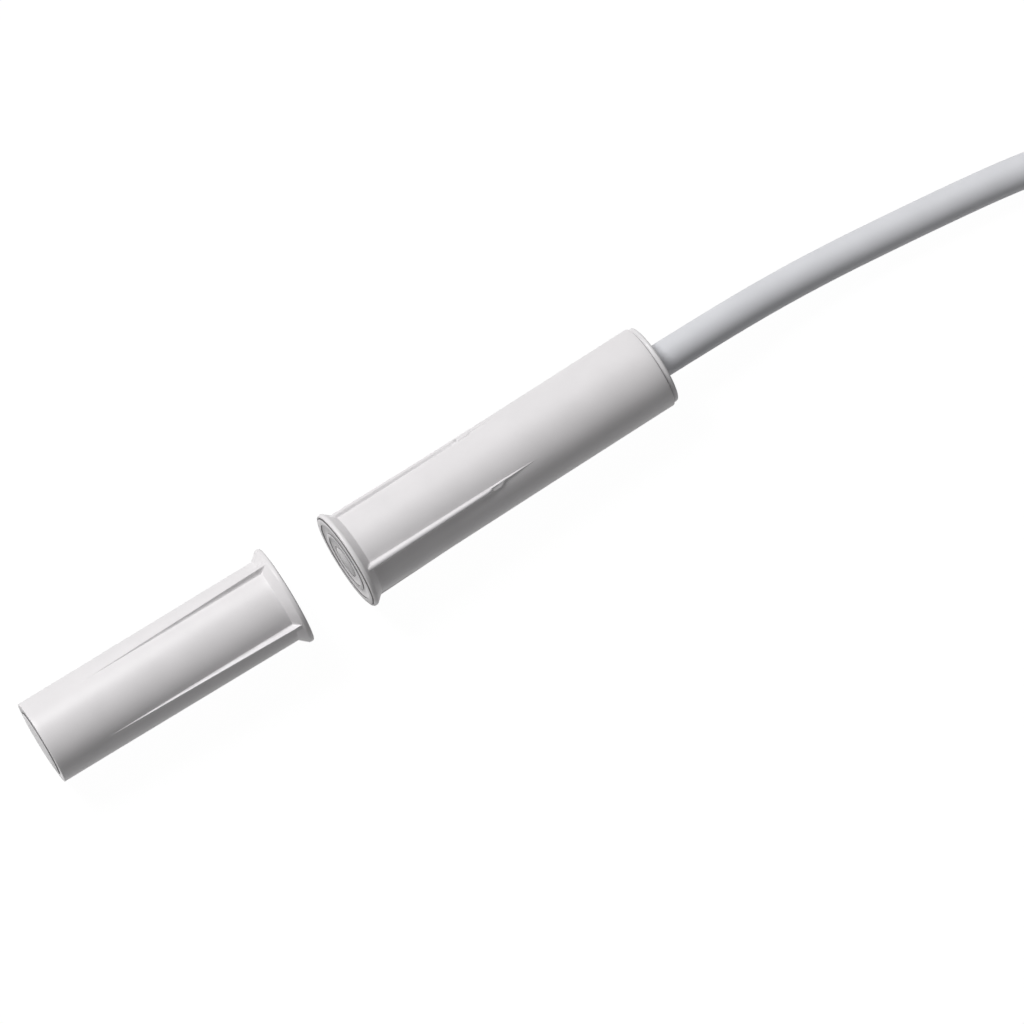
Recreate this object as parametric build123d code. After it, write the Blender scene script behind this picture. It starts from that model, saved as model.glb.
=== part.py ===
from build123d import *
from math import asin, atan2, cos, degrees, hypot, pi, radians, sin, tan
import os

# Recessed magnetic contact for a door or window: a reed switch unit on a four-core cable, and the
# magnet unit that works it. Both are flanged barrels that are pushed into drilled holes.
# Every size is in millimetres. Each unit is built with its front face at x = 0 and its axis along
# +X, then both are laid on the floor, where they rest on the flange's rim and the tail's edge.

# Barrel and flange, the same on both units
barrel_radius = 4.0
barrel_draft = 0.05
barrel_wall = 1.0
front_wall = 1.3
flange_lip = 0.75
rim_thickness = 0.45
rim_rounding = 0.14
rim_land = 0.7
face_recess = 0.15
face_ring_inset = 1.15
face_ring_width = 0.3
face_ring_height = 0.08
flare_length = 0.9
edge_rounding = 0.12

# Ribs that bite into the wall of the hole, four on each barrel
rib_count = 4
magnet_rib_height = 0.62
magnet_rib_width = 0.4
magnet_plain_tail = 6.0
switch_rib_height = 0.52
switch_rib_width = 0.56
switch_rib_end = 14.0
switch_rib_end_height = 0.28
switch_rib_end_width = 0.36
barb_step = 0.08
barb_length = 2.0
lead_in_height = 0.26
lead_in_width = 0.2
lead_in_length = 5.3
plain_margin = 0.4

# Magnet unit
magnet_length = 25.6
magnet_bar_clearance = 0.05
magnet_bar_chamfer = 0.3
plug_rim = 0.35
plug_clearance = 0.05
plug_head_thickness = 1.0
plug_shank_length = 4.75
plug_recess = 0.25
plug_wall = 0.8
plug_head_chamfer = 0.12

# Switch unit
switch_length = 33.2
cap_step = 0.18
cap_rim = 0.55
cap_rounding = 0.3
cap_spigot_length = 1.3
cap_spigot_clearance = 0.03
cap_hole_clearance = 0.05
potting_length = 3.4
potting_gap = 0.15

# Reed board, in grooves along the bore. Its height is from the bore's lowest line to its top face.
board_thickness = 0.8
board_height = 2.3
board_start_gap = 0.1
board_end_gap = 2.4
board_edge_gap = 0.08
board_groove_depth = 0.21
board_face_gap = 0.05
board_hole_clearance = 0.07

# Reed switch, a sealed glass capsule with two blades
capsule_radius = 1.0
capsule_start = 5.3
capsule_bore = 0.72
capsule_seal = 1.5
capsule_rounding = 0.5
capsule_seat_gap = 0.02
lead_radius = 0.22
lead_reach = 1.8
lead_bend = 0.5
blade_width = 0.8
blade_thickness = 0.15
blade_overlap = 1.6
blade_root = 0.3
contact_gap = 0.06

# Solder joints under the board. The outer cores' holes are nearest the board's rear edge, then come
# the inner cores' holes and the reed's rear hole, each by its distance from the last.
solder_pad_radius = 0.5
solder_height = 0.4
solder_collar = 0.06
wire_stand_proud = 0.05
pad_wall_gap = 0.18
outer_hole_inset = 1.2
inner_hole_step = 1.8
inner_hole_side = 0.62
reed_hole_step = 1.5

# Cable and its four cores
cable_diameter = 3.2
core_radius = 0.48
core_spacing = 1.24
core_wire_radius = 0.2
core_bend = 0.7
core_straight = 0.7
core_landing = 0.9
core_strip_distance = 1.1
jacket_reach = 1.1
core_names = ("white", "brown", "green", "yellow")

# How the two units lie, the way that the pair is laid out
switch_roll = 36.0
magnet_roll = 33.2
face_distance = 5.9
magnet_side_step = 0.42
magnet_yaw = -2.0

# Cable route from the switch unit to the hank: x from the unit's rear end, y to the side, z from the
# floor. The cable first runs straight out along the unit's tilted axis.
straight_exit = 4.1
cable_route = [
    (15.4, 0.0, 1.95),
    (26.9, -1.25, 1.6),
    (37.6, -2.75, 1.6),
    (44.1, -4.4, 1.6),
    (54.8, -7.8, 4.8),
    (62.3, -7.8, 4.8),
]

# Cable put away in a tied hank: two turns side by side in each of three layers, drawn in at its waist.
# The cable comes in on the second layer and leaves on the floor.
hank_lanes = 2
hank_layers = 3
fold_radius = 9.6
waist_gap = 0.2
flare_angle = 45.0
neck_run = 8.0
hank_notch_clearance = 0.9
tie_width = 4.0
tie_thickness = 0.9
tie_corner = 0.8
tie_head_length = 5.0
tie_head_height = 3.4
tie_head_width = 5.2
neck_overhang = 1.0

# Cable tail from the end of the last turn to the bare end, straight on along the floor
tail_length = 6.0

# Bare end of the cable: the cores fan out over the floor and each ends in a stripped wire. Each
# core's sideways reach at its tip is given in the order of its place in the cable's section.
core_fan = (-1.0, 3.9, 2.0, 6.9)
fan_start = 2.8
fan_share = 0.55
core_landing_run = 8.0
core_length = 18.0
stripped_length = 5.5
core_end_bend = 3.0

bore_radius = barrel_radius - barrel_wall
flange_radius = barrel_radius + flange_lip
housing_length = switch_length - cap_rim
cable_radius = cable_diameter / 2


def rod(radius, start, end):
    """A round bar along X."""
    return Pos(start, 0, 0) * Rot(0, 90, 0) * Cylinder(
        radius, end - start, align=(Align.CENTER, Align.CENTER, Align.MIN)
    )


def edges_of_radius(solid, radius):
    """The round edges of one radius."""
    return [e for e in solid.edges().filter_by(GeomType.CIRCLE) if abs(e.radius - radius) < 1e-6]


def thread(points, radii, section):
    """Sweep a flat section along straight runs joined by tangent arcs."""
    path = FilletPolyline(*points, radius=radii)
    return sweep(path.location_at(0) * Rot(0, 0, 90) * section, path=path)


# Barrels, flanges and ribs

magnet_rib_end = magnet_length - magnet_plain_tail
lead_in_end = switch_rib_end + lead_in_length


def flanged_barrel(length, plain_start):
    """A closed round barrel with a trumpet flange and a raised rim around its recessed face."""
    shoulder = rim_thickness + flare_length
    drafted = barrel_radius + barrel_draft
    rim_inner = flange_radius - rim_land
    ring_outer = rim_inner - face_ring_inset
    ring_inner = ring_outer - face_ring_width
    ring_top = face_recess - face_ring_height
    front = Polyline(
        (shoulder, drafted), (plain_start, barrel_radius), (length, barrel_radius), (length, 0),
        (face_recess, 0), (face_recess, ring_inner), (ring_top, ring_inner),
        (ring_top, ring_outer), (face_recess, ring_outer), (face_recess, rim_inner), (0, rim_inner),
        (0, flange_radius), (rim_thickness, flange_radius),
    )
    flare = TangentArc((shoulder, drafted), (rim_thickness, flange_radius), tangent=(-1, 0))
    body = revolve(Plane.XZ * make_face(front + flare), Axis.X)
    body = fillet(edges_of_radius(body, flange_radius), rim_rounding)
    tail = body.edges().filter_by(GeomType.CIRCLE).sort_by(Axis.X)[-1]
    return fillet(tail, edge_rounding)


def rib_section(x, width, height, rounded):
    """The section of a rib at x, from inside the wall to its crest."""
    root = (bore_radius + barrel_radius) / 2
    half = width / 2
    top = barrel_radius + height
    shoulder = top - half if rounded else top
    sides = Polyline((-half, shoulder), (-half, root), (half, root), (half, shoulder))
    crest = (
        ThreePointArc((half, shoulder), (0, top), (-half, shoulder))
        if rounded
        else Line((half, shoulder), (-half, shoulder))
    )
    across = Plane(origin=(x, 0, 0), x_dir=(0, 1, 0), z_dir=(1, 0, 0))
    return across * make_face(sides + crest)


def rib(start, end, rounded=False):
    """A straight rib between two sections, each given as x, width and height."""
    return loft([rib_section(*start, rounded), rib_section(*end, rounded)], ruled=True)


def around(body, feature):
    """The body with the feature repeated around its axis."""
    for k in range(rib_count):
        body += Rot(360 / rib_count * k, 0, 0) * feature
    return body


def magnet_rib():
    """A wedge that starts in the flange and runs out before the tail."""
    return rib((rim_thickness, magnet_rib_width, magnet_rib_height), (magnet_rib_end, magnet_rib_width, 0))


def switch_rib():
    """A round-crested rib that ends in a small ramped barb, with a thin lead-in behind it."""
    crest = rib(
        (rim_thickness, switch_rib_width, switch_rib_height),
        (switch_rib_end, switch_rib_end_width, switch_rib_end_height),
        rounded=True,
    )
    ramp = rib(
        (switch_rib_end, switch_rib_end_width, switch_rib_end_height - barb_step),
        (switch_rib_end + barb_length, switch_rib_end_width, 0),
    )
    lead_in = rib(
        (switch_rib_end, lead_in_width, lead_in_height), (lead_in_end, lead_in_width, 0), rounded=True
    )
    return crest + ramp + lead_in


# Magnet unit

plug_seat_radius = barrel_radius - plug_rim
plug_head_start = magnet_length - plug_recess - plug_head_thickness
magnet_bar_end = plug_head_start - plug_shank_length


def magnet_housing():
    body = around(flanged_barrel(magnet_length, magnet_rib_end + plain_margin), magnet_rib())
    body -= rod(bore_radius, front_wall, magnet_length)
    return body - rod(plug_seat_radius, plug_head_start, magnet_length)


def bar_magnet():
    bar = rod(bore_radius - magnet_bar_clearance, front_wall, magnet_bar_end)
    return chamfer(bar.edges().filter_by(GeomType.CIRCLE), magnet_bar_chamfer)


def magnet_end_plug():
    """A headed plug whose hollow shank holds the magnet against the front wall."""
    head = rod(plug_seat_radius - plug_clearance, plug_head_start, plug_head_start + plug_head_thickness)
    head = chamfer(head.edges().filter_by(GeomType.CIRCLE).sort_by(Axis.X)[-1], plug_head_chamfer)
    shank_radius = bore_radius - plug_clearance
    shank = rod(shank_radius, magnet_bar_end, plug_head_start)
    return head + shank - rod(shank_radius - plug_wall, magnet_bar_end, plug_head_start)


# Switch unit, from its rear end to its front

cap_radius = barrel_radius - cap_step
potting_end = housing_length - cap_spigot_length - potting_gap
potting_start = potting_end - potting_length
jacket_start = potting_start - jacket_reach
board_start = front_wall + board_start_gap
board_end = jacket_start - board_end_gap
board_top = board_height - bore_radius
board_bottom = board_top - board_thickness
board_half_width = (bore_radius**2 - board_top**2) ** 0.5 + board_groove_depth - board_edge_gap
wire_end = board_bottom - solder_height - wire_stand_proud
outer_hole_x = board_end - outer_hole_inset
outer_hole_side = (bore_radius**2 - wire_end**2) ** 0.5 - solder_pad_radius - pad_wall_gap
inner_hole_x = outer_hole_x - inner_hole_step
# Where each core's wire goes through the board, in the order of the cores
core_holes = (
    (outer_hole_x, -outer_hole_side),
    (outer_hole_x, outer_hole_side),
    (inner_hole_x, -inner_hole_side),
    (inner_hole_x, inner_hole_side),
)
core_height = board_top + core_radius + capsule_seat_gap
reed_holes = (capsule_start - lead_reach, inner_hole_x - reed_hole_step)
reed_height = board_top + capsule_radius + capsule_seat_gap
capsule_end = reed_holes[1] - lead_reach


def switch_housing():
    body = around(flanged_barrel(housing_length, lead_in_end + plain_margin), switch_rib())
    body -= rod(bore_radius, front_wall, housing_length)
    groove_half_width = board_half_width + board_edge_gap
    groove = Box(
        housing_length - front_wall, 2 * groove_half_width, board_thickness + 2 * board_face_gap,
        align=(Align.MIN, Align.CENTER, Align.CENTER),
    )
    return body - Pos(front_wall, 0, board_top - board_thickness / 2) * groove


def rear_cap():
    """A thin cap with a spigot in the bore and the cable's hole."""
    rim = rod(cap_radius, housing_length, switch_length)
    rim = fillet(rim.edges().filter_by(GeomType.CIRCLE).sort_by(Axis.X)[-1], cap_rounding)
    cap = rim + rod(bore_radius - cap_spigot_clearance, housing_length - cap_spigot_length, housing_length)
    return cap - rod(cable_radius + cap_hole_clearance, housing_length - cap_spigot_length, switch_length)


def potting_plug():
    """Resin that seals the cable in the bore and takes its pull."""
    return rod(bore_radius, potting_start, potting_end) - rod(cable_radius, potting_start, potting_end)


def reed_board():
    board = Pos(board_start, 0, board_top) * Box(
        board_end - board_start, 2 * board_half_width, board_thickness,
        align=(Align.MIN, Align.CENTER, Align.MAX),
    )
    holes = [(x, 0, lead_radius) for x in reed_holes] + [(x, y, core_wire_radius) for x, y in core_holes]
    for x, y, wire_radius in holes:
        board -= Pos(x, y, board_top - board_thickness / 2) * Cylinder(
            wire_radius + board_hole_clearance, 2 * board_thickness
        )
    return board


def reed_capsule():
    glass = rod(capsule_radius, capsule_start, capsule_end)
    glass = fillet(glass.edges().filter_by(GeomType.CIRCLE), capsule_rounding)
    glass -= rod(capsule_bore, capsule_start + capsule_seal, capsule_end - capsule_seal)
    return Pos(0, 0, reed_height) * (glass - rod(lead_radius, capsule_start, capsule_end))


def reed_blade(front):
    """A lead that turns down through the board, flattened into a blade inside the glass."""
    middle = (capsule_start + capsule_end) / 2
    way = 1 if front else -1
    root = capsule_start + capsule_seal if front else capsule_end - capsule_seal
    hole = reed_holes[0] if front else reed_holes[1]
    lead = thread(
        [(root, 0, reed_height), (hole, 0, reed_height), (hole, 0, wire_end)], lead_bend, Circle(lead_radius)
    )
    tip = middle + way * blade_overlap / 2
    blade_start = root - way * blade_root
    offset = way * (contact_gap + blade_thickness) / 2
    blade = Pos((blade_start + tip) / 2, 0, reed_height + offset) * Box(
        abs(tip - blade_start), blade_width, blade_thickness
    )
    inside = Pos(0, 0, reed_height) * rod(
        capsule_bore, capsule_start + capsule_seal, capsule_end - capsule_seal
    )
    return lead + (blade & inside)


def solder_joint(x, y, wire_radius):
    """A cone of solder around a wire, under the board."""
    cone = Cone(wire_radius + solder_collar, solder_pad_radius, solder_height)
    return Pos(x, y, board_bottom - solder_height / 2) * (cone - Cylinder(wire_radius, solder_height))


def core_corners(k):
    """The k-th core's place in the cable's section: the two lower cores, then the two upper ones."""
    side = -1 if k % 2 == 0 else 1
    return side * core_spacing / 2, (-1 if k < 2 else 1) * core_spacing / 2


def inner_core(k):
    """One core from the cable's jacket to the board: its insulation and its wire."""
    y, z = core_corners(k)
    hole_x, hole_y = core_holes[k]
    strip_x = hole_x + core_strip_distance
    points = [
        (jacket_start, y, z),
        (jacket_start - core_straight, y, z),
        (strip_x + core_landing, hole_y, core_height),
        (strip_x, hole_y, core_height),
    ]
    wire_points = points[:3] + [(hole_x, hole_y, core_height), (hole_x, hole_y, wire_end)]
    insulation = thread(points, core_bend, Circle(core_radius) - Circle(core_wire_radius))
    wire = thread(wire_points, core_bend, Circle(core_wire_radius))
    return insulation, wire


# Laying a unit down: the floor touches the rounding of the flange's rim and of the tail's edge


def lying(tail_x, tail_radius, tail_rounding):
    """The tilt of a unit's axis in degrees, and the height of its front face's centre."""
    along = (tail_x - tail_rounding) - (rim_thickness - rim_rounding)
    down = (flange_radius - rim_rounding) - (tail_radius - tail_rounding)
    tilt = atan2(down, along) + asin((rim_rounding - tail_rounding) / hypot(along, down))
    height = (
        (rim_thickness - rim_rounding) * sin(tilt) + (flange_radius - rim_rounding) * cos(tilt) + rim_rounding
    )
    return degrees(tilt), height


switch_tilt, switch_height = lying(housing_length, barrel_radius, edge_rounding)
magnet_tilt, magnet_height = lying(magnet_length, barrel_radius, edge_rounding)
switch_place = Pos(0, 0, switch_height) * Rot(0, switch_tilt, 0) * Rot(switch_roll, 0, 0)
magnet_place = (
    Pos(-face_distance, magnet_side_step, magnet_height)
    * Rot(0, 0, 180 + magnet_yaw)
    * Rot(0, magnet_tilt, 0)
    * Rot(magnet_roll, 0, 0)
)

# Cable, hank and bare end


def arc_radii(points):
    """For each corner of a route, the largest arc that its two runs leave room for."""
    corners = [Vector(*p) for p in points]
    radii = []
    for before, here, after in zip(corners, corners[1:], corners[2:]):
        turn = radians((here - before).get_angle(after - here))
        radii.append(0.45 * min((here - before).length, (after - here).length) / tan(turn / 2))
    return radii


def tube(name, points):
    """A plain round tube along a route."""
    radii = arc_radii(points)
    solid = thread(points, radii, Circle(cable_radius))
    length = FilletPolyline(*points, radius=radii).length
    print(name, "radii", [round(r, 1) for r in radii], "length", round(length, 1))
    print(name, "volume", round(solid.volume, 1), "section x length", round(pi * cable_radius**2 * length, 1))
    return solid


def on_axis(x):
    """A point on the switch unit's tilted axis."""
    return (x * cos(radians(switch_tilt)), 0, switch_height - x * sin(radians(switch_tilt)))


inner_waist = cable_radius + waist_gap / 2
outer_offset = (hank_lanes - 0.5) * cable_diameter
sweep_sum = (fold_radius - inner_waist) / (1 - cos(radians(flare_angle)))
lobe_distance = sweep_sum * sin(radians(flare_angle)) + neck_run / 2
lobe_radius = fold_radius + outer_offset
hollow_radius = sweep_sum - fold_radius - outer_offset
hank_height = hank_layers * cable_diameter
laid_route = [(switch_length + x, y, z) for x, y, z in cable_route]
hank_start = laid_route[-1]
hank_axis_y = hank_start[1] + fold_radius + (hank_lanes - 1) * cable_diameter
waist_x = hank_start[0] + lobe_distance
waist_half_width = inner_waist + outer_offset
tail_start = waist_x + lobe_distance
tail_end = tail_start + tail_length


def cable_hank():
    """The outer shape of the hank: a slab with two round lobes, open in the middle of each."""
    meet_x = lobe_distance - lobe_radius * sin(radians(flare_angle))
    meet_y = lobe_radius * cos(radians(flare_angle))
    rest_y = hollow_radius + waist_half_width
    slab = Rectangle(2 * meet_x, 2 * meet_y)
    for side in (-1, 1):
        slab += Pos(side * lobe_distance, 0) * Circle(lobe_radius)
        for end in (-1, 1):
            slab -= Pos(end * neck_run / 2, side * rest_y) * Circle(hollow_radius)
        slab -= Pos(0, side * rest_y) * Rectangle(neck_run, 2 * hollow_radius)
    for side in (-1, 1):
        slab -= Pos(side * lobe_distance, 0) * Circle(fold_radius - cable_radius)
    solid = extrude(slab, hank_height)
    neck_length = tie_width + 2 * neck_overhang
    seat = (Align.CENTER, Align.CENTER, Align.MIN)
    solid -= Box(neck_length, 2 * lobe_radius, hank_height, align=seat)
    solid += Pos(0, 0, tie_thickness) * Box(neck_length, 2 * waist_half_width, hank_height, align=seat)
    solid = Pos(waist_x, hank_axis_y, 0) * solid
    notch = 2 * lobe_radius
    arrival_top = hank_start[2] + cable_radius + hank_notch_clearance
    arrival = Box(notch, notch, arrival_top, align=(Align.MAX, Align.MAX, Align.MIN))
    departure_top = cable_diameter + hank_notch_clearance
    departure = Box(notch, notch, departure_top, align=(Align.MIN, Align.MAX, Align.MIN))
    notch_y = hank_start[1] + cable_radius + hank_notch_clearance
    solid -= Pos(hank_start[0], notch_y, 0) * arrival
    return solid - Pos(tail_start, notch_y, 0) * departure


def hank_tie():
    """A nylon strap around the hank's waist, with its head on top."""
    seat = (Align.CENTER, Align.CENTER, Align.MIN)
    strap_height = hank_height + 2 * tie_thickness
    strap = Box(tie_width, 2 * (waist_half_width + tie_thickness), strap_height, align=seat)
    strap = fillet(strap.edges().filter_by(Axis.X), tie_corner)
    strap -= Pos(0, 0, tie_thickness) * Box(tie_width, 2 * waist_half_width, hank_height, align=seat)
    head = Box(tie_head_width, tie_head_length, tie_head_height, align=seat)
    head = fillet(head.edges().filter_by(Axis.Z), tie_corner)
    return Pos(waist_x, hank_axis_y, 0) * (strap + Pos(0, 0, strap_height - tie_thickness / 2) * head)


def end_core(k):
    """One core at the cable's bare end: its insulation and its stripped wire."""
    y, z = core_corners(k)
    start = Vector(tail_end, hank_start[1] + y, cable_radius + z)
    leave = start + Vector(fan_start, 0, 0)
    low = Vector(tail_end + core_landing_run, hank_start[1] + fan_share * core_fan[k], core_radius)
    tip = Vector(tail_end + core_length, hank_start[1] + core_fan[k], core_radius)
    far = tip + (tip - low).normalized() * stripped_length
    section = Circle(core_radius) - Circle(core_wire_radius)
    insulation = thread([start, leave, low, tip], core_end_bend, section)
    wire = thread([start, leave, low, far], core_end_bend, Circle(core_wire_radius))
    return insulation, wire


# Every piece at its place on the floor

pieces = {
    "magnet_housing": magnet_place * magnet_housing(),
    "bar_magnet": magnet_place * bar_magnet(),
    "magnet_end_plug": magnet_place * magnet_end_plug(),
    "switch_housing": switch_place * switch_housing(),
    "rear_cap": switch_place * rear_cap(),
    "potting_plug": switch_place * potting_plug(),
    "reed_board": switch_place * reed_board(),
    "reed_capsule": switch_place * reed_capsule(),
    "reed_blade_front": switch_place * reed_blade(True),
    "reed_blade_rear": switch_place * reed_blade(False),
    "solder_joint_reed_front": switch_place * solder_joint(reed_holes[0], 0, lead_radius),
    "solder_joint_reed_rear": switch_place * solder_joint(reed_holes[1], 0, lead_radius),
}
cord_pieces = {
    "cable_jacket": tube(
        "cable_jacket", [on_axis(jacket_start), on_axis(switch_length + straight_exit)] + laid_route
    ),
    "cable_hank": cable_hank(),
    "hank_tie": hank_tie(),
    "cable_tail": Pos(0, hank_start[1], cable_radius) * rod(cable_radius, tail_start, tail_end),
}
for k, colour in enumerate(core_names):
    insulation, wire = inner_core(k)
    pieces[f"core_{colour}"] = switch_place * insulation
    pieces[f"core_wire_{colour}"] = switch_place * wire
    pieces[f"solder_joint_{colour}"] = switch_place * solder_joint(*core_holes[k], core_wire_radius)
    insulation, wire = end_core(k)
    cord_pieces[f"end_core_{colour}"] = insulation
    cord_pieces[f"end_wire_{colour}"] = wire

# The origin is under the middle of the two units, on the floor
boxes = [piece.bounding_box() for piece in pieces.values()]
shift_x = -(min(b.min.X for b in boxes) + max(b.max.X for b in boxes)) / 2
shift_y = -(min(b.min.Y for b in boxes) + max(b.max.Y for b in boxes)) / 2
origin = Pos(shift_x, shift_y, 0)
print("origin shift", round(shift_x, 4), round(shift_y, 4))
print("switch tilt and height", round(switch_tilt, 4), round(switch_height, 4))
print("magnet tilt and height", round(magnet_tilt, 4), round(magnet_height, 4))

os.makedirs("parts", exist_ok=True)
for name, piece in (pieces | cord_pieces).items():
    export_step(origin * piece, f"parts/{name}.step")
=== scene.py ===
"""Looks of the recessed magnetic contact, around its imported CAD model."""
from math import asin, cos, pi, radians, sin

import bmesh
import bpy
from mathutils import Matrix, Vector


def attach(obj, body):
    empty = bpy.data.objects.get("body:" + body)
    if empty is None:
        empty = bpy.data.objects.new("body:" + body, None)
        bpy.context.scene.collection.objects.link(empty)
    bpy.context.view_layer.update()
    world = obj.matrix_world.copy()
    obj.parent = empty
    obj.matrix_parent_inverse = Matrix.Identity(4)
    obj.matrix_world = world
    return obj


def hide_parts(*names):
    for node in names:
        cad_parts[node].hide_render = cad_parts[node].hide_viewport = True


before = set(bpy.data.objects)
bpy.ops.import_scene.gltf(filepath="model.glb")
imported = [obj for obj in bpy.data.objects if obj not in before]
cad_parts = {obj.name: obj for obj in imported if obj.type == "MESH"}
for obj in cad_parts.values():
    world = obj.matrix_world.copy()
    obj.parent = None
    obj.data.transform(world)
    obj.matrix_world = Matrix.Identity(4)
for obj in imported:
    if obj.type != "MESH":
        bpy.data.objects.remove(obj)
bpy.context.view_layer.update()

MM = 0.001

# The CAD script's values that the cable's route needs, in millimetres. It measures x from the switch
# unit's face, and ORIGIN moves that point to the frame's.
ORIGIN = Vector((-0.8109, -0.2782, 0.0))
SWITCH_LENGTH = 33.2
SWITCH_TILT = radians(1.3335)
SWITCH_HEIGHT = 4.756
CABLE_DIAMETER = 3.2
CABLE_RADIUS = CABLE_DIAMETER / 2


def place(x, y, z):
    """A point of the CAD script, in metres in the frame."""
    return (Vector((x, y, z)) + ORIGIN) * MM


# Camera: a long lens at the photograph's angle

VIEW_ELEVATION = radians(75.0)
VIEW_HEADING = radians(56.2)
VIEW_DISTANCE = 1.0
FRAME_WIDTH = 0.0910
SENSOR_WIDTH = 36.0
CLIP_START = 0.01
CLIP_END = 20.0
AIM = Vector((14.06, -4.72, 4.75)) * MM


def add_camera():
    """A camera that looks at AIM and is as wide as FRAME_WIDTH there."""
    data = bpy.data.cameras.new("camera")
    data.sensor_width = SENSOR_WIDTH
    data.lens = SENSOR_WIDTH * VIEW_DISTANCE / FRAME_WIDTH
    data.clip_start = CLIP_START
    data.clip_end = CLIP_END
    camera = bpy.data.objects.new("camera", data)
    bpy.context.collection.objects.link(camera)
    look = Vector(
        (
            cos(VIEW_HEADING) * cos(VIEW_ELEVATION),
            sin(VIEW_HEADING) * cos(VIEW_ELEVATION),
            -sin(VIEW_ELEVATION),
        )
    )
    camera.location = AIM - look * VIEW_DISTANCE
    camera.rotation_euler = look.to_track_quat("-Z", "Y").to_euler()
    bpy.context.scene.camera = camera


add_camera()

# Cable: its route as in the CAD script, then the hank's turns and the straight tail


def on_axis(x):
    """A point on the switch unit's tilted axis."""
    return (x * cos(SWITCH_TILT), 0.0, SWITCH_HEIGHT - x * sin(SWITCH_TILT))


CABLE_ROUTE = [
    on_axis(26.6),
    on_axis(37.3),
    (48.6, 0.0, 1.95),
    (60.1, -1.25, 1.6),
    (70.8, -2.75, 1.6),
    (77.3, -4.4, 1.6),
    (88.0, -7.8, 4.8),
    (95.5, -7.8, 4.8),
]
TAIL_LENGTH = 6.0
CABLE_SMOOTHNESS = 6

# Hank: a figure of two lobes and a narrow waist, in two lanes side by side and three layers. The cable
# is lifted over the tie's strap between LIFT_OUTER and LIFT_INNER from the waist, and it changes its
# lane or layer within CHANGE of a turn.
FOLD_RADIUS = 9.6
INNER_WAIST = 1.7
FLARE = radians(45.0)
HALF_NECK = 4.0
ARC_SUM = (FOLD_RADIUS - INNER_WAIST) / (1 - cos(FLARE))
LOBE_DISTANCE = ARC_SUM * sin(FLARE) + HALF_NECK
WAIST_X = CABLE_ROUTE[-1][0] + LOBE_DISTANCE
HANK_Y = CABLE_ROUTE[-1][1] + FOLD_RADIUS + CABLE_DIAMETER
TIE_THICKNESS = 0.9
LIFT_INNER = 4.0
LIFT_OUTER = 13.0
CHANGE = 0.14
CHANGES = 5
STATIONS_PER_TURN = 36


def smooth(x):
    """A soft step from 0 to 1."""
    x = min(max(x, 0.0), 1.0)
    return x * x * (3 - 2 * x)


# Shares of a quarter turn, taken midway between the two lanes: the straight neck, then the arc beside
# the waist, then the lobe
WAIST_ARC = FLARE * (ARC_SUM - FOLD_RADIUS - CABLE_RADIUS)
LOBE_ARC = (FLARE + pi / 2) * (FOLD_RADIUS + CABLE_RADIUS)
NECK_SHARE = HALF_NECK / (HALF_NECK + WAIST_ARC + LOBE_ARC)
LOBE_SHARE = LOBE_ARC / (HALF_NECK + WAIST_ARC + LOBE_ARC)
START = 1 - LOBE_SHARE * (pi / 2) / (FLARE + pi / 2)
HANK_TURNS = CHANGES + START / 2


def quarter(t, lane):
    """A point of a quarter turn, from the waist at t = 0 to the far end of the lobe at t = 1."""
    if t < NECK_SHARE:
        return HALF_NECK * t / NECK_SHARE, INNER_WAIST + lane
    if t < 1 - LOBE_SHARE:
        angle = FLARE * (t - NECK_SHARE) / (1 - LOBE_SHARE - NECK_SHARE)
        radius = ARC_SUM - FOLD_RADIUS - lane
        return HALF_NECK + radius * sin(angle), INNER_WAIST + lane + radius * (1 - cos(angle))
    angle = pi / 2 - (FLARE + pi / 2) * (1 - t) / LOBE_SHARE
    radius = FOLD_RADIUS + lane
    return LOBE_DISTANCE + radius * sin(angle), radius * cos(angle)


def hank_point(turn):
    """A point of the hank: from the outer lane's second layer up, inwards, down to the floor and out."""
    done = [smooth((turn - k + CHANGE * k) / CHANGE) for k in range(1, CHANGES + 1)]
    lane = CABLE_DIAMETER * (1 - done[1] + done[4])
    layer = 1 + done[0] - done[2] - done[3]
    v = (4 * turn - START) % 4
    t = v % 1 if int(v) % 2 == 0 else 1 - v % 1
    x, y = quarter(t, lane)
    side_x = 1 if v < 2 else -1
    side_y = 1 if 1 <= v < 3 else -1
    lift = TIE_THICKNESS * smooth((LIFT_OUTER - x) / (LIFT_OUTER - LIFT_INNER))
    z = CABLE_RADIUS + CABLE_DIAMETER * layer + lift
    return WAIST_X + side_x * x, HANK_Y + side_y * y, z


def add_cable():
    """The whole cable as one open curve, from inside the switch unit to its bare end."""
    points = list(CABLE_ROUTE)
    count = round(HANK_TURNS * STATIONS_PER_TURN)
    points += [hank_point(HANK_TURNS * i / count) for i in range(1, count + 1)]
    end_x, end_y, end_z = points[-1]
    points.append((end_x + TAIL_LENGTH, end_y, end_z))
    data = bpy.data.curves.new("cable", "CURVE")
    data.dimensions = "3D"
    data.bevel_depth = 1.0
    data.bevel_resolution = CABLE_SMOOTHNESS
    data.resolution_u = CABLE_SMOOTHNESS
    data.use_fill_caps = True
    spline = data.splines.new("NURBS")
    spline.points.add(len(points) - 1)
    for point, at in zip(spline.points, points):
        point.co = (*place(*at), 1.0)
        point.radius = CABLE_RADIUS * MM
    spline.order_u = 3
    spline.use_endpoint_u = True
    cable = bpy.data.objects.new("cable", data)
    bpy.context.collection.objects.link(cable)
    return cable


cable = add_cable()
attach(cable, "root")
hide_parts("cable_jacket", "cable_hank", "cable_tail")

# Barrels: the housings, the magnet's end plug and the rear cap as fine meshes, with the root fillets,
# soft edges and lines of painted shade in their grooves, steps and gaps that the plain CAD solids leave
# out. Each mesh is a stack of rows around the unit's axis, x from its face to its rear end. A row is one
# quarter, with a rib in its middle, four times over.

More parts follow.
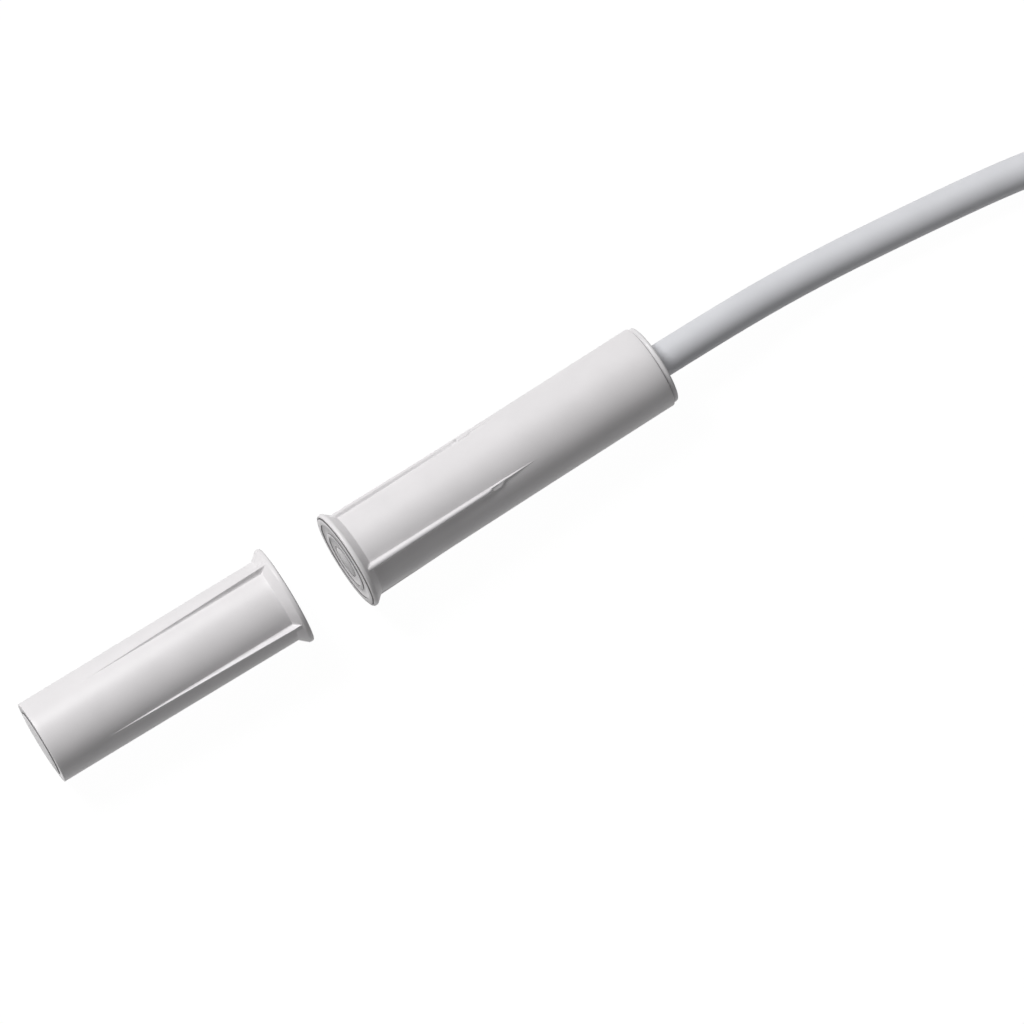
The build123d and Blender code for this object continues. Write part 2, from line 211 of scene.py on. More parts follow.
BARREL_RADIUS = 4.0
DRAFTED_RADIUS = 4.05
BORE_RADIUS = 3.0
FRONT_WALL = 1.3
EDGE_ROUNDING = 0.06
HOUSING_LENGTH = 32.65
MAGNET_LENGTH = 25.6
TAIL_ROWS = 12

FLANGE_RADIUS = 4.75
RIM_THICKNESS = 0.45
RIM_ROUNDING = 0.18
RIM_SHOULDER = 0.36
RIM_TURN = 0.25
FLARE_FILLET = 0.15
SHOULDER = 1.3
CONE_ROWS = 14

# The face's lines, by their radii and depths. A face step is how far the face lies behind its border.
SWITCH_FACE_STEP = 0.07
MAGNET_FACE_STEP = 0.025
FACE_GROOVE_INNER = 1.5
FACE_GROOVE_OUTER = 1.62
FACE_GROOVE_DEPTH = 0.05
FACE_RING_INNER = 2.55
FACE_RING_OUTER = 2.95
FACE_RING_LEVEL = 0.01
BORDER_INNER = 3.85
BORDER_OUTER = 4.45
RIM_INNER = 4.53
STEP_SOFTENING = 0.015

CREST_ROUNDING = 0.05
ROOT_FILLET = 0.1
ROOT_FILLET_SHARE = 0.4
NORMALS_WEIGHT = 80


def arc(centre, radius, start, end, steps):
    """Points of an arc in the (x, r) half plane, its angles measured from the r axis towards x."""
    angles = [radians(start + (end - start) * i / steps) for i in range(steps + 1)]
    return [(centre[0] + radius * sin(a), centre[1] + radius * cos(a)) for a in angles]


def fin(s, base, half, top, rounding, slope):
    """Height at the distance s from a rib's middle: its crest, its steep flank and its root's fillet."""
    edge = top - rounding
    if s <= half - rounding:
        height = top
    elif s <= half:
        height = edge + (rounding**2 - (s - half + rounding) ** 2) ** 0.5
    else:
        height = edge - slope * (s - half)
    fillet = min(ROOT_FILLET, ROOT_FILLET_SHARE * max(top - base, 0.0))
    if fillet > 0 and s > half:
        foot = half + max(edge - base, 0.0) / slope
        u = min(max((foot + fillet - s) / fillet, 0.0), 1.0)
        height = max(height, base + fillet * (1 - (1 - u * u) ** 0.5))
    return max(height, base)


MAGNET_RIB_END = 20.2
MAGNET_RIB_HALF = 0.2
MAGNET_RIB_HEIGHT = 0.62
MAGNET_RIB_SLOPE = 5.0


def magnet_half(x):
    """Half the width of a magnet unit's rib, the same all along it."""
    return MAGNET_RIB_HALF


def magnet_rib(x, s, base):
    """A wedge that falls to nothing towards the tail."""
    share = (MAGNET_RIB_END - x) / (MAGNET_RIB_END - RIM_THICKNESS)
    top = BARREL_RADIUS + MAGNET_RIB_HEIGHT * share
    return fin(abs(s), base, MAGNET_RIB_HALF, top, CREST_ROUNDING, MAGNET_RIB_SLOPE)


SWITCH_RIB_HALF = 0.28
SWITCH_RIB_HALF_LOSS = 0.1
SWITCH_RIB_HEIGHT = 0.52
SWITCH_RIB_HEIGHT_LOSS = 0.24
SWITCH_RIB_SLOPE = 9.0
BARB_START = 14.0
BARB_END = 15.6
BARB_SLANT = 1.6
BARB_STEP = 0.03
BARB_HEIGHT = 0.13
BARB_RUN_OUT = 0.25
BARB_HALF = 0.24
BARB_SHIFT = -0.04
LEAD_IN_END = 18.9
LEAD_IN_HEIGHT = 0.18
LEAD_IN_HALF = 0.07
LEAD_IN_SHIFT = 0.12


def switch_half(x):
    """Half the width of a switch unit's rib, which narrows up to its barb."""
    share = min(max((x - RIM_THICKNESS) / (BARB_START - RIM_THICKNESS), 0.0), 1.0)
    return SWITCH_RIB_HALF - SWITCH_RIB_HALF_LOSS * share


def switch_rib(x, s, base):
    """A round-crested rib, then a flat barb with a slanted end, and a thin lead-in along its upper edge."""
    if x <= BARB_START:
        share = (x - RIM_THICKNESS) / (BARB_START - RIM_THICKNESS)
        top = BARREL_RADIUS + SWITCH_RIB_HEIGHT - SWITCH_RIB_HEIGHT_LOSS * share
        half = switch_half(x)
        return fin(abs(s), base, half, top, half, SWITCH_RIB_SLOPE)
    height = base
    end = BARB_END + BARB_SLANT * s
    if x < end:
        top = BARREL_RADIUS + BARB_HEIGHT * min((end - x) / BARB_RUN_OUT, 1.0)
        height = fin(abs(s - BARB_SHIFT), base, BARB_HALF, top, CREST_ROUNDING, SWITCH_RIB_SLOPE)
    if x < LEAD_IN_END:
        top = BARREL_RADIUS + LEAD_IN_HEIGHT * (LEAD_IN_END - x) / (LEAD_IN_END - BARB_START)
        fine = fin(abs(s - LEAD_IN_SHIFT), base, LEAD_IN_HALF, top, LEAD_IN_HALF, SWITCH_RIB_SLOPE)
        height = max(height, fine)
    return height


# Points across a rib's crest, down its flank and root, and over the open barrel beside it
CREST_STEPS = 13
FLANK_SAMPLES = (0.01, 0.022, 0.036, 0.052, 0.07, 0.09, 0.112, 0.136, 0.162, 0.19, 0.22, 0.26, 0.32)
OPEN_STEPS = 24


def half_row(half):
    """Distances from a rib's middle, on one side: the crest, then the flank and the root."""
    return [half * i / CREST_STEPS for i in range(1, CREST_STEPS + 1)] + [half + d for d in FLANK_SAMPLES]


def row_points(x, r, rib, half_at):
    """One row around the axis, as (y, z) points, the ribs' height put on where there is one."""
    near = half_row(half_at(x))
    outermost = asin(near[-1] / BARREL_RADIUS)
    open_angles = [outermost + (pi / 4 - outermost) * i / OPEN_STEPS for i in range(1, OPEN_STEPS + 1)]
    quarter_row = [(-r * sin(a), r * cos(a)) for a in reversed(open_angles[:-1])]
    for s in [-s for s in reversed(near)] + [0.0] + near:
        angle = asin(s / BARREL_RADIUS)
        y, z = r * sin(angle), r * cos(angle)
        quarter_row.append((y, rib(x, s, z) if rib else z))
    quarter_row += [(r * sin(a), r * cos(a)) for a in open_angles]
    points = []
    for c, s in ((1, 0), (0, 1), (-1, 0), (0, -1)):
        points += [(c * y + s * z, -s * y + c * z) for y, z in quarter_row]
    return points


def unit_matrix(x, y, height, turn, tilt, roll):
    """Where a unit lies, in the CAD script's millimetres."""
    return (
        Matrix.Translation((x, y, height))
        @ Matrix.Rotation(turn, 4, "Z")
        @ Matrix.Rotation(tilt, 4, "Y")
        @ Matrix.Rotation(roll, 4, "X")
    )


SWITCH_ROLL = radians(36.0)
MAGNET_FACE_X = -5.9
MAGNET_SIDE_STEP = 0.42
MAGNET_HEIGHT = 4.7572
MAGNET_TURN = radians(178.0)
MAGNET_TILT = radians(1.7068)
MAGNET_ROLL = radians(33.2)
SWITCH_PLACE = unit_matrix(0.0, 0.0, SWITCH_HEIGHT, 0.0, SWITCH_TILT, SWITCH_ROLL)
MAGNET_PLACE = unit_matrix(
    MAGNET_FACE_X, MAGNET_SIDE_STEP, MAGNET_HEIGHT, MAGNET_TURN, MAGNET_TILT, MAGNET_ROLL
)


def add_turned(name, profile, matrix, half_at=magnet_half, rib=None):
    """A closed body from a profile of (x, r, kind) rows that starts and ends on the axis, or is a ring.

    A row's kind says what lies between it and the row before: plain barrel, rib or a painted shade line, a
    band coloured dark for the shade in a groove or gap.
    """
    if profile[0][1] > 0:
        profile = profile + profile[:1]
    vertices, rings = [], []
    for x, r, kind in profile:
        if r == 0:
            points = [(0.0, 0.0)]
        else:
            points = row_points(x, r, rib if kind == "rib" else None, half_at)
        rings.append(range(len(vertices), len(vertices) + len(points)))
        vertices += [place(*(matrix @ Vector((x, y, z)))) for y, z in points]
    faces, shades = [], []
    for a, b, (_, _, kind) in zip(rings, rings[1:], profile[1:]):
        for i in range(max(len(a), len(b))):
            corners = [a[i % len(a)], b[i % len(b)], b[(i + 1) % len(b)], a[(i + 1) % len(a)]]
            faces.append(list(dict.fromkeys(corners)))
            shades.append(1 if kind == "painted_shade_line" else 0)
    mesh = bpy.data.meshes.new(name)
    mesh.from_pydata(vertices, [], faces)
    mesh.materials.append(None)
    mesh.materials.append(None)
    mesh.polygons.foreach_set("material_index", shades)
    mesh.update()
    mesh.shade_smooth()
    piece = bpy.data.objects.new(name, mesh)
    bpy.context.collection.objects.link(piece)
    normals = piece.modifiers.new("normals", "WEIGHTED_NORMAL")
    normals.weight = NORMALS_WEIGHT
    return piece


def rows(points, kind="plain"):
    """The points as rows of one kind."""
    return [(x, r, kind) for x, r in points]


def step(r, start, end):
    """A fine edge in an end face at the radius r, from one level to another, with a line of painted shade
    along it.
    """
    softened = start + STEP_SOFTENING * (1 if end > start else -1)
    return (
        rows([(start, r - STEP_SOFTENING)])
        + rows([(softened, r), (end, r)], "painted_shade_line")
        + rows([(end, r + STEP_SOFTENING)])
    )


def front_profile(face_step):
    """From the middle of the face over its rings to the flange's rim and its flare."""
    groove = face_step + FACE_GROOVE_DEPTH
    rim_groove = 2 * face_step
    face = rows([(face_step, 0.0)])
    face += step(FACE_GROOVE_INNER, face_step, groove) + step(FACE_GROOVE_OUTER, groove, face_step)
    face += step(FACE_RING_INNER, face_step, FACE_RING_LEVEL)
    face += step(FACE_RING_OUTER, FACE_RING_LEVEL, face_step)
    face += step(BORDER_INNER, face_step, 0.0) + step(BORDER_OUTER, 0.0, rim_groove)
    # The groove inside the rim is a band of painted shade
    face += rows([(rim_groove, RIM_INNER)], "painted_shade_line")
    rim = arc((RIM_ROUNDING + face_step, FLANGE_RADIUS - RIM_ROUNDING), RIM_ROUNDING, -90, 0, 6)
    back = arc((RIM_SHOULDER, FLANGE_RADIUS - RIM_TURN), RIM_TURN, 0, 45, 5)
    fillet = arc((SHOULDER, DRAFTED_RADIUS + FLARE_FILLET), FLARE_FILLET, -135, -180, 4)
    (x0, r0), (x1, r1) = back[-1], fillet[0]
    shares = [i / CONE_ROWS for i in range(1, CONE_ROWS)]
    cone = [(x0 + (x1 - x0) * share, r0 + (r1 - r0) * share) for share in shares]
    return face + rows(rim + back) + rows(cone + fillet, "rib")


def outer_profile(ribbed_at, plain_start, length):
    """The drafted barrel with its ribs, and the plain barrel up to its rounded edge."""
    slope = (DRAFTED_RADIUS - BARREL_RADIUS) / (plain_start - SHOULDER)
    ribbed = [(x, DRAFTED_RADIUS - slope * (x - SHOULDER)) for x in ribbed_at]
    reach = length - EDGE_ROUNDING - plain_start
    tail = [(plain_start + reach * i / TAIL_ROWS, BARREL_RADIUS) for i in range(TAIL_ROWS + 1)]
    edge = arc((length - EDGE_ROUNDING, BARREL_RADIUS - EDGE_ROUNDING), EDGE_ROUNDING, 0, 90, 5)[1:]
    return rows(ribbed, "rib") + rows(tail + edge)


def stations(*spans):
    """Evenly spaced x values over each (start, end, count) span."""
    return [start + (end - start) * i / count for start, end, count in spans for i in range(1, count + 1)]


# Where the rows lie along the ribs, as (start, end, count) spans, and where the barrel is plain again
MAGNET_SPANS = ((SHOULDER, 5.0, 8), (5.0, 19.4, 24), (19.4, MAGNET_RIB_END, 8))
MAGNET_PLAIN_START = 20.4
SWITCH_SPANS = (
    (SHOULDER, BARB_START, 26),
    (BARB_START, BARB_START + BARB_STEP, 1),
    (BARB_START + BARB_STEP, 16.0, 22),
    (16.0, LEAD_IN_END, 12),
)
SWITCH_PLAIN_START = 19.7

# The plug stands TAIL_STEP proud of the tail, with a line of painted shade around it for the shade of the
# gap
TAIL_STEP = 0.09
TAIL_LEVEL = MAGNET_LENGTH - TAIL_STEP
PLUG_SEAT_RADIUS = 3.2
PLUG_HEAD_START = 24.35
PLUG_RADIUS = 3.05
PLUG_EDGE = 0.02
PLUG_FACE_ROW = 1.8
SHANK_START = 19.6
SHANK_RADIUS = 2.95
SHANK_BORE_RADIUS = 2.15

magnet_housing = add_turned(
    "magnet_housing_fine",
    front_profile(MAGNET_FACE_STEP)
    + outer_profile(stations(*MAGNET_SPANS), MAGNET_PLAIN_START, TAIL_LEVEL)
    + rows([(TAIL_LEVEL, PLUG_SEAT_RADIUS)])
    + rows([(PLUG_HEAD_START, PLUG_SEAT_RADIUS)], "painted_shade_line")
    + rows([(PLUG_HEAD_START, BORE_RADIUS), (FRONT_WALL, BORE_RADIUS), (FRONT_WALL, 0.0)]),
    MAGNET_PLACE,
    magnet_half,
    magnet_rib,
)
switch_housing = add_turned(
    "switch_housing_fine",
    front_profile(SWITCH_FACE_STEP)
    + outer_profile(stations(*SWITCH_SPANS), SWITCH_PLAIN_START, HOUSING_LENGTH)
    + rows([(HOUSING_LENGTH, BORE_RADIUS), (FRONT_WALL, BORE_RADIUS), (FRONT_WALL, 0.0)]),
    SWITCH_PLACE,
    switch_half,
    switch_rib,
)
end_plug = add_turned(
    "magnet_end_plug_fine",
    rows([(PLUG_HEAD_START, 0.0), (PLUG_HEAD_START, SHANK_BORE_RADIUS)])
    + rows([(SHANK_START, SHANK_BORE_RADIUS), (SHANK_START, SHANK_RADIUS)])
    + rows([(PLUG_HEAD_START, SHANK_RADIUS), (PLUG_HEAD_START, PLUG_RADIUS)])
    + rows([(MAGNET_LENGTH - PLUG_EDGE, PLUG_RADIUS)], "painted_shade_line")
    + rows([(MAGNET_LENGTH, r) for r in (PLUG_RADIUS - PLUG_EDGE, PLUG_FACE_ROW, 0.0)]),
    MAGNET_PLACE,
)

# The rear cap: a ring around the cable, with painted shade in the joint where it meets the housing
CAP_RADIUS = 3.82
CAP_ROUNDING = 0.16
CAP_HOLE_RADIUS = 1.65
CAP_HOLE_EDGE = 0.1
CAP_HOLE_EDGE_DEPTH = 0.06
CAP_SPIGOT_RADIUS = 2.97
CAP_SPIGOT_START = 31.35
CAP_JOINT_RADIUS = CAP_RADIUS - 0.04
CAP_JOINT_END = HOUSING_LENGTH + 0.05
CAP_RIM_START = CAP_JOINT_END + 0.01

rear_cap = add_turned(
    "rear_cap_fine",
    rows([(CAP_SPIGOT_START, CAP_HOLE_RADIUS), (CAP_SPIGOT_START, CAP_SPIGOT_RADIUS)])
    + rows([(HOUSING_LENGTH, CAP_SPIGOT_RADIUS), (HOUSING_LENGTH, CAP_JOINT_RADIUS)])
    + rows([(CAP_JOINT_END, CAP_JOINT_RADIUS), (CAP_RIM_START, CAP_RADIUS)], "painted_shade_line")
    + rows(arc((SWITCH_LENGTH - CAP_ROUNDING, CAP_RADIUS - CAP_ROUNDING), CAP_ROUNDING, 0, 90, 8))
    + rows([(SWITCH_LENGTH, CAP_HOLE_RADIUS + CAP_HOLE_EDGE)])
    + rows([(SWITCH_LENGTH - CAP_HOLE_EDGE_DEPTH, CAP_HOLE_RADIUS)]),
    SWITCH_PLACE,
)

for piece, solid, slot in (
    (magnet_housing, "magnet_housing", "housing_plastic"),
    (switch_housing, "switch_housing", "housing_plastic"),
    (end_plug, "magnet_end_plug", "cap_plastic"),
    (rear_cap, "rear_cap", "cap_plastic"),
):
    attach(piece, "root")
    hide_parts(solid)

# Tie: a flat strap around the waist, and its head with the strap's cut end standing in the slot

TIE_WIDTH = 4.0
TIE_HALF_DEPTH = 7.4
TIE_HEIGHT = 11.4
TIE_CORNER = 2.0
TIE_CORNER_STEPS = 8
TIE_EDGE = 0.2
TIE_EDGE_STEPS = 3
TIE_HEAD = ((-2.6, -2.5, 10.95), (2.6, 2.5, 14.35))
TIE_SLOT = (-2.2, -0.2, 2.2, 1.5, 2.2)
TIE_CUT_END = ((-2.0, 0.2, 12.0), (2.0, 1.1, 15.2))
TIE_BEVEL = 0.18
TIE_BEVEL_ANGLE = radians(50)


def strap_mesh(mesh):
    """The strap: a flat section with rounded edges, swept around a loop with round corners."""
    outline = []
    for y, z, start in (
        (TIE_HALF_DEPTH, 0.0, -90), (TIE_HALF_DEPTH, TIE_HEIGHT, 0),
        (-TIE_HALF_DEPTH, TIE_HEIGHT, 90), (-TIE_HALF_DEPTH, 0.0, 180),
    ):
        centre_y = y - TIE_CORNER if y > 0 else y + TIE_CORNER
        centre_z = z + TIE_CORNER if z == 0 else z - TIE_CORNER
        for i in range(TIE_CORNER_STEPS + 1):
            angle = radians(start + 90 * i / TIE_CORNER_STEPS)
            outline.append((centre_y + TIE_CORNER * cos(angle), centre_z + TIE_CORNER * sin(angle), angle))
    section = []
    half = TIE_WIDTH / 2 - TIE_EDGE
    for x, out, start in (
        (half, -TIE_EDGE, 0), (-half, -TIE_EDGE, 90),
        (-half, TIE_EDGE - TIE_THICKNESS, 180), (half, TIE_EDGE - TIE_THICKNESS, 270),
    ):
        for i in range(TIE_EDGE_STEPS + 1):
            angle = radians(start + 90 * i / TIE_EDGE_STEPS)
            section.append((x + TIE_EDGE * cos(angle), out + TIE_EDGE * sin(angle)))
    vertices = [
        [mesh.verts.new((x, y + out * cos(angle), z + out * sin(angle))) for x, out in section]
        for y, z, angle in outline
    ]
    for i in range(len(outline)):
        for j in range(len(section)):
            a, b = vertices[i], vertices[(i + 1) % len(outline)]
            k = (j + 1) % len(section)
            mesh.faces.new((a[j], b[j], b[k], a[k]))


def add_box(mesh, low, high, slot=None):
    """A box, with a slot (low x, low y, high x, high y, depth) sunk in its top if there is one."""
    (x0, y0, z0), (x1, y1, z1) = low, high

    def ring(xa, ya, xb, yb, z):
        return [mesh.verts.new(at) for at in ((xa, ya, z), (xb, ya, z), (xb, yb, z), (xa, yb, z))]

    rings = [ring(x0, y0, x1, y1, z0), ring(x0, y0, x1, y1, z1)]
    if slot:
        xa, ya, xb, yb, depth = slot
        rings += [ring(xa, ya, xb, yb, z1), ring(xa, ya, xb, yb, z1 - depth)]
    mesh.faces.new(rings[0][::-1])
    for a, b in zip(rings, rings[1:]):
        for i in range(4):
            mesh.faces.new((a[i], a[(i + 1) % 4], b[(i + 1) % 4], b[i]))
    mesh.faces.new(rings[-1])


def add_tie():
    """The tie's strap, its head and the strap's cut end, as one mesh with softened edges."""
    mesh = bmesh.new()
    strap_mesh(mesh)
    add_box(mesh, *TIE_HEAD, TIE_SLOT)
    add_box(mesh, *TIE_CUT_END)
    bmesh.ops.recalc_face_normals(mesh, faces=mesh.faces)
    for vertex in mesh.verts:
        vertex.co = place(WAIST_X + vertex.co.x, HANK_Y + vertex.co.y, vertex.co.z)
    data = bpy.data.meshes.new("hank_tie_fine")
    mesh.to_mesh(data)
    mesh.free()
    data.shade_smooth()
    piece = bpy.data.objects.new("hank_tie_fine", data)
    bpy.context.collection.objects.link(piece)
    edges = piece.modifiers.new("edges", "BEVEL")
    edges.width = TIE_BEVEL * MM
    edges.segments = 3
    edges.limit_method = "ANGLE"
    edges.angle_limit = TIE_BEVEL_ANGLE
    piece.modifiers.new("normals", "WEIGHTED_NORMAL")
    return piece


tie = add_tie()
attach(tie, "root")
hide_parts("hank_tie")

CORE_COLOURS = {
    "white": (0.8, 0.8, 0.78),
    "brown": (0.16, 0.06, 0.025),
    "green": (0.03, 0.26, 0.07),
    "yellow": (0.8, 0.58, 0.04),
}


# Materials


class Nodes:
    """A material's node tree, with short ways to add and join nodes."""

    def __init__(self, name):
        self.material = bpy.data.materials.new(name)
        self.material.use_nodes = True
        self.tree = self.material.node_tree
        self.tree.nodes.clear()
        self.output = self.tree.nodes.new("ShaderNodeOutputMaterial")
        self.shader = self.tree.nodes.new("ShaderNodeBsdfPrincipled")
        self.join(self.shader.outputs[0], self.output.inputs["Surface"])
        self.coordinates = self.tree.nodes.new("ShaderNodeTexCoord").outputs["Object"]

    def join(self, source, target):
        self.tree.links.new(source, target)

    def set(self, **values):
        """Fixed values on the shader's own inputs."""
        for name, value in values.items():
            self.shader.inputs[name.replace("_", " ")].default_value = value

    def noise(self, size_mm, detail=2.0, roughness=0.5):
        """Noise whose features are about as large as size_mm."""
        node = self.tree.nodes.new("ShaderNodeTexNoise")
        node.inputs["Scale"].default_value = 1 / (size_mm * MM)
        node.inputs["Detail"].default_value = detail
        node.inputs["Roughness"].default_value = roughness
        self.join(self.coordinates, node.inputs["Vector"])
        return node.outputs["Fac"]

    def spread(self, source, low, high, start=0.0, end=1.0):
        """The source's range from start to end, spread from low to high."""
        node = self.tree.nodes.new("ShaderNodeMapRange")
        for name, value in zip(("From Min", "From Max", "To Min", "To Max"), (start, end, low, high)):
            node.inputs[name].default_value = value
        self.join(source, node.inputs["Value"])
        return node.outputs["Result"]

    def colours(self, source, stops):
        """A colour ramp from (position, colour) stops."""
        node = self.tree.nodes.new("ShaderNodeValToRGB")
        ramp = node.color_ramp
        while len(ramp.elements) < len(stops):
            ramp.elements.new(1.0)
        for element, (position, colour) in zip(ramp.elements, stops):
            element.position = position
            element.color = (*colour, 1.0)
        self.join(source, node.inputs["Fac"])
        return node.outputs["Color"]

    def bump(self, source, height_mm, below=None):
        """Bumps as high as height_mm, on top of other bumps if there are any below."""
        node = self.tree.nodes.new("ShaderNodeBump")
        node.inputs["Strength"].default_value = 1.0
        node.inputs["Distance"].default_value = height_mm * MM
        self.join(source, node.inputs["Height"])
        if below is not None:
            self.join(below, node.inputs["Normal"])
        return node.outputs["Normal"]


def shade(colour, factor):
    """The colour made darker or lighter by a factor."""
    return tuple(min(1.0, part * factor) for part in colour)


def plastic(name, colour, roughness=0.4, grain_mm=0.12, grain_height_mm=0.0015, wave_height_mm=0.01):
    """Moulded or extruded plastic: a fine grain, a soft unevenness and a faint change of shade."""
    nodes = Nodes(name)
    tone = nodes.noise(size_mm=3.5, detail=3.0)
    nodes.join(
        nodes.colours(tone, [(0.3, shade(colour, 0.97)), (0.7, shade(colour, 1.015))]),
        nodes.shader.inputs["Base Color"],
    )
    grain = nodes.noise(grain_mm, detail=3.0)
    nodes.join(
        nodes.spread(grain, low=roughness - 0.05, high=roughness + 0.06, start=0.3, end=0.7),
        nodes.shader.inputs["Roughness"],
    )
    waves = nodes.bump(nodes.noise(size_mm=2.2, detail=1.0), wave_height_mm)
    nodes.join(nodes.bump(grain, grain_height_mm, waves), nodes.shader.inputs["Normal"])
    nodes.set(IOR=1.46)
    return nodes.material


def metal(name, colour, roughness=0.3, grain_mm=0.08, grain_height_mm=0.002):
    """Metal with a fine grain and a change of shade."""
    nodes = Nodes(name)
    tone = nodes.noise(size_mm=1.5, detail=4.0)
    nodes.join(
        nodes.colours(tone, [(0.25, shade(colour, 0.8)), (0.75, shade(colour, 1.08))]),
        nodes.shader.inputs["Base Color"],
    )
    grain = nodes.noise(grain_mm, detail=4.0)
    nodes.join(
        nodes.spread(grain, low=roughness - 0.08, high=roughness + 0.12, start=0.3, end=0.7),
        nodes.shader.inputs["Roughness"],
    )
    nodes.join(nodes.bump(grain, grain_height_mm), nodes.shader.inputs["Normal"])
    nodes.set(Metallic=1.0)
    return nodes.material


def paint(material, *names):
    """Give these objects the material in place of any others."""
    for name in names:
        data = bpy.data.objects[name].data
        data.materials.clear()
        data.materials.append(material)


HOUSING_WHITE = (0.815, 0.795, 0.805)
CAP_WHITE = (0.80, 0.785, 0.795)
CABLE_WHITE = (0.735, 0.74, 0.77)
# Dark greys painted on the bands in grooves, steps and gaps, as painted shade
PAINTED_LINE_SHADE = (0.13, 0.125, 0.13)
PAINTED_JOINT_SHADE = (0.5, 0.49, 0.5)

housing_plastic = plastic("housing_plastic", HOUSING_WHITE)
cap_plastic = plastic("cap_plastic", CAP_WHITE)
painted_shade_line = plastic("painted_shade_line", PAINTED_LINE_SHADE, roughness=0.6)
# The cap's joint band is painted a mid grey as the shade in the gap
joint = plastic("joint", PAINTED_JOINT_SHADE, roughness=0.6)
# Slot 0 takes the plastic, slot 1 the painted shade of the grooves, steps and the cap's joint
for piece, surface, line in (
    (magnet_housing, housing_plastic, painted_shade_line),
    (switch_housing, housing_plastic, painted_shade_line),
    (end_plug, cap_plastic, painted_shade_line),
    (rear_cap, cap_plastic, joint),
):
    piece.data.materials[0] = surface
    piece.data.materials[1] = line

paint(plastic("cable_pvc", CABLE_WHITE, roughness=0.45, grain_mm=0.2, wave_height_mm=0.03), "cable")
paint(plastic("tie_nylon", (0.76, 0.75, 0.7), roughness=0.35), "hank_tie_fine")
paint(plastic("potting_resin", (0.5, 0.47, 0.4), roughness=0.25), "potting_plug")
paint(plastic("circuit_board", (0.03, 0.2, 0.08), roughness=0.35), "reed_board")
tinned = metal("tinned_copper", (0.72, 0.69, 0.64))
solder = metal("solder", (0.66, 0.66, 0.65), roughness=0.22)
for colour, rgb in CORE_COLOURS.items():
    insulation = plastic(f"core_{colour}", rgb, roughness=0.38, grain_mm=0.1)
    paint(insulation, f"core_{colour}", f"end_core_{colour}")
    paint(tinned, f"core_wire_{colour}", f"end_wire_{colour}")
    paint(solder, f"solder_joint_{colour}")
paint(solder, "solder_joint_reed_front", "solder_joint_reed_rear")
paint(metal("reed_metal", (0.7, 0.68, 0.64), roughness=0.2), "reed_blade_front", "reed_blade_rear")
paint(metal("magnet_alloy", (0.3, 0.3, 0.31), roughness=0.42), "bar_magnet")

glass = Nodes("reed_glass")
glass.join(
    glass.colours(glass.noise(size_mm=2.0), [(0.3, (0.5, 0.78, 0.6)), (0.7, (0.6, 0.85, 0.68))]),
    glass.shader.inputs["Base Color"],
)
glass.join(glass.spread(glass.noise(size_mm=0.5), low=0.02, high=0.07), glass.shader.inputs["Roughness"])
glass.set(IOR=1.5, Transmission_Weight=1.0)
paint(glass.material, "reed_capsule")


# Floor, light and white background


def seen_directly(tree):
    """1 for rays that show the background itself: from the camera, or by a mirror or glass."""
    path = tree.nodes.new("ShaderNodeLightPath")
    total = path.outputs["Is Camera Ray"]
    for name in ("Is Glossy Ray", "Is Transmission Ray"):
        larger = tree.nodes.new("ShaderNodeMath")
        larger.operation = "MAXIMUM"
        tree.links.new(total, larger.inputs[0])
        tree.links.new(path.outputs[name], larger.inputs[1])
        total = larger.outputs[0]
    return total


FLOOR_SIZE = 6.0
FLOOR_DEPTH = 0.00001
FLOOR_SHADE = 0.4
FLOOR_WHITENESS = 0.9
FLOOR_GLOW = 1.09
WORLD_SHADE = 0.125
WHITE = (1.0, 1.0, 1.0, 1.0)


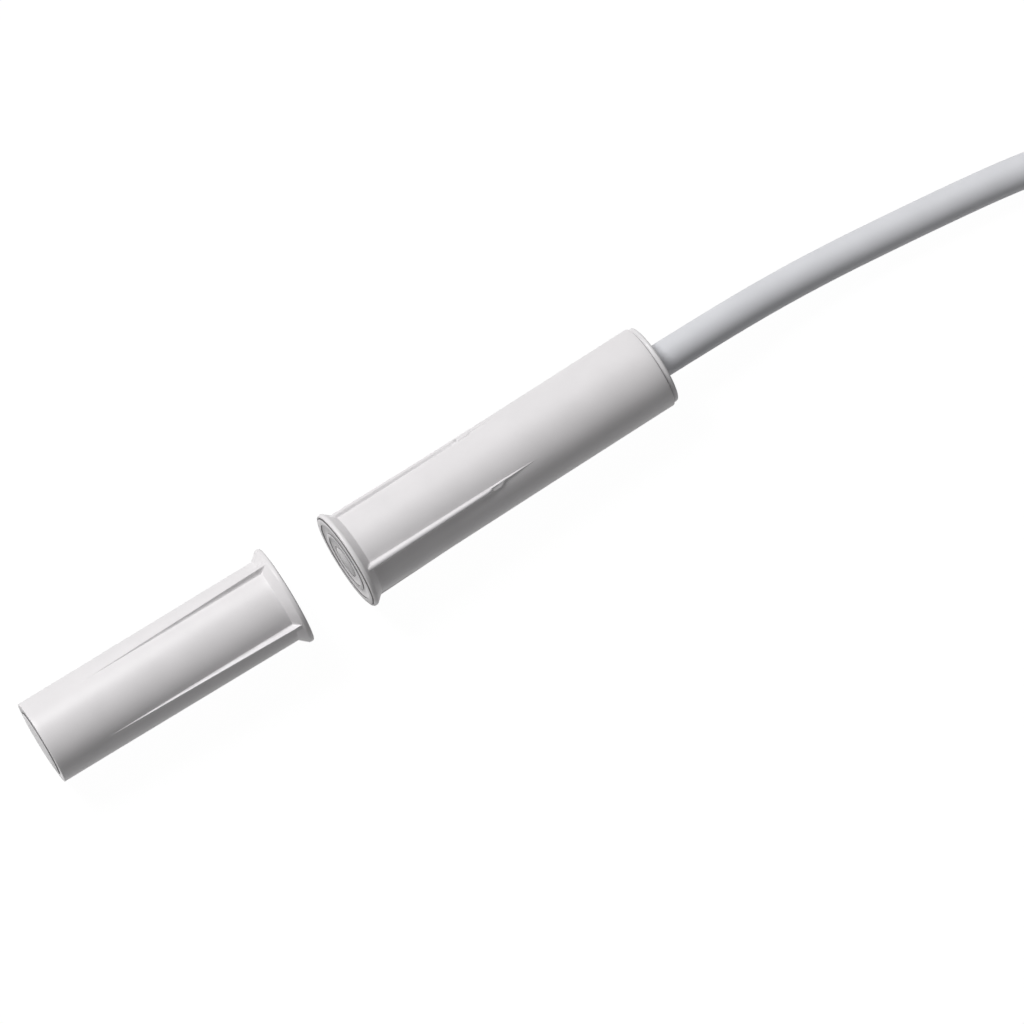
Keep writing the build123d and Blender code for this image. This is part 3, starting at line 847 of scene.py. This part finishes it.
def add_floor():
    """A wide floor that takes the object's shadow and otherwise looks white."""
    half = FLOOR_SIZE / 2
    mesh = bpy.data.meshes.new("floor")
    corners = [(-half, -half), (half, -half), (half, half), (-half, half)]
    mesh.from_pydata([(x, y, -FLOOR_DEPTH) for x, y in corners], [], [(0, 1, 2, 3)])
    floor = bpy.data.objects.new("floor", mesh)
    bpy.context.collection.objects.link(floor)
    material = bpy.data.materials.new("floor")
    material.use_nodes = True
    tree = material.node_tree
    tree.nodes.clear()
    diffuse = tree.nodes.new("ShaderNodeBsdfDiffuse")
    diffuse.inputs["Color"].default_value = (FLOOR_SHADE, FLOOR_SHADE, FLOOR_SHADE, 1.0)
    white = tree.nodes.new("ShaderNodeEmission")
    white.inputs["Color"].default_value = WHITE
    white.inputs["Strength"].default_value = FLOOR_GLOW
    share = tree.nodes.new("ShaderNodeMath")
    share.operation = "MULTIPLY"
    share.inputs[1].default_value = FLOOR_WHITENESS
    tree.links.new(seen_directly(tree), share.inputs[0])
    mix = tree.nodes.new("ShaderNodeMixShader")
    tree.links.new(share.outputs[0], mix.inputs["Fac"])
    tree.links.new(diffuse.outputs[0], mix.inputs[1])
    tree.links.new(white.outputs[0], mix.inputs[2])
    output = tree.nodes.new("ShaderNodeOutputMaterial")
    tree.links.new(mix.outputs[0], output.inputs["Surface"])
    mesh.materials.append(material)


def add_world():
    """A dim even light on the object, and a white background where it is seen directly."""
    world = bpy.data.worlds.new("world")
    world.use_nodes = True
    tree = world.node_tree
    tree.nodes.clear()
    light = tree.nodes.new("ShaderNodeBackground")
    light.inputs["Color"].default_value = WHITE
    light.inputs["Strength"].default_value = WORLD_SHADE
    white = tree.nodes.new("ShaderNodeBackground")
    white.inputs["Color"].default_value = WHITE
    mix = tree.nodes.new("ShaderNodeMixShader")
    tree.links.new(seen_directly(tree), mix.inputs["Fac"])
    tree.links.new(light.outputs[0], mix.inputs[1])
    tree.links.new(white.outputs[0], mix.inputs[2])
    output = tree.nodes.new("ShaderNodeOutputWorld")
    tree.links.new(mix.outputs[0], output.inputs["Surface"])
    bpy.context.scene.world = world


def add_lamp(name, towards, distance, size, power):
    """A square soft lamp that shines on the object from that direction."""
    data = bpy.data.lights.new(name, "AREA")
    data.shape = "SQUARE"
    data.size = size
    data.energy = power
    lamp = bpy.data.objects.new(name, data)
    bpy.context.collection.objects.link(lamp)
    towards = Vector(towards).normalized()
    lamp.location = AIM + towards * distance
    lamp.rotation_euler = (-towards).to_track_quat("-Z", "Y").to_euler()


add_floor()
add_world()
add_lamp("key", towards=(-0.25, 0.60, 0.80), distance=0.7, size=0.25, power=4.2)
add_lamp("fill", towards=(-1.0, -0.10, 0.25), distance=0.7, size=0.4, power=0.45)

bpy.context.scene.view_settings.view_transform = "Standard"

bpy.context.view_layer.update()
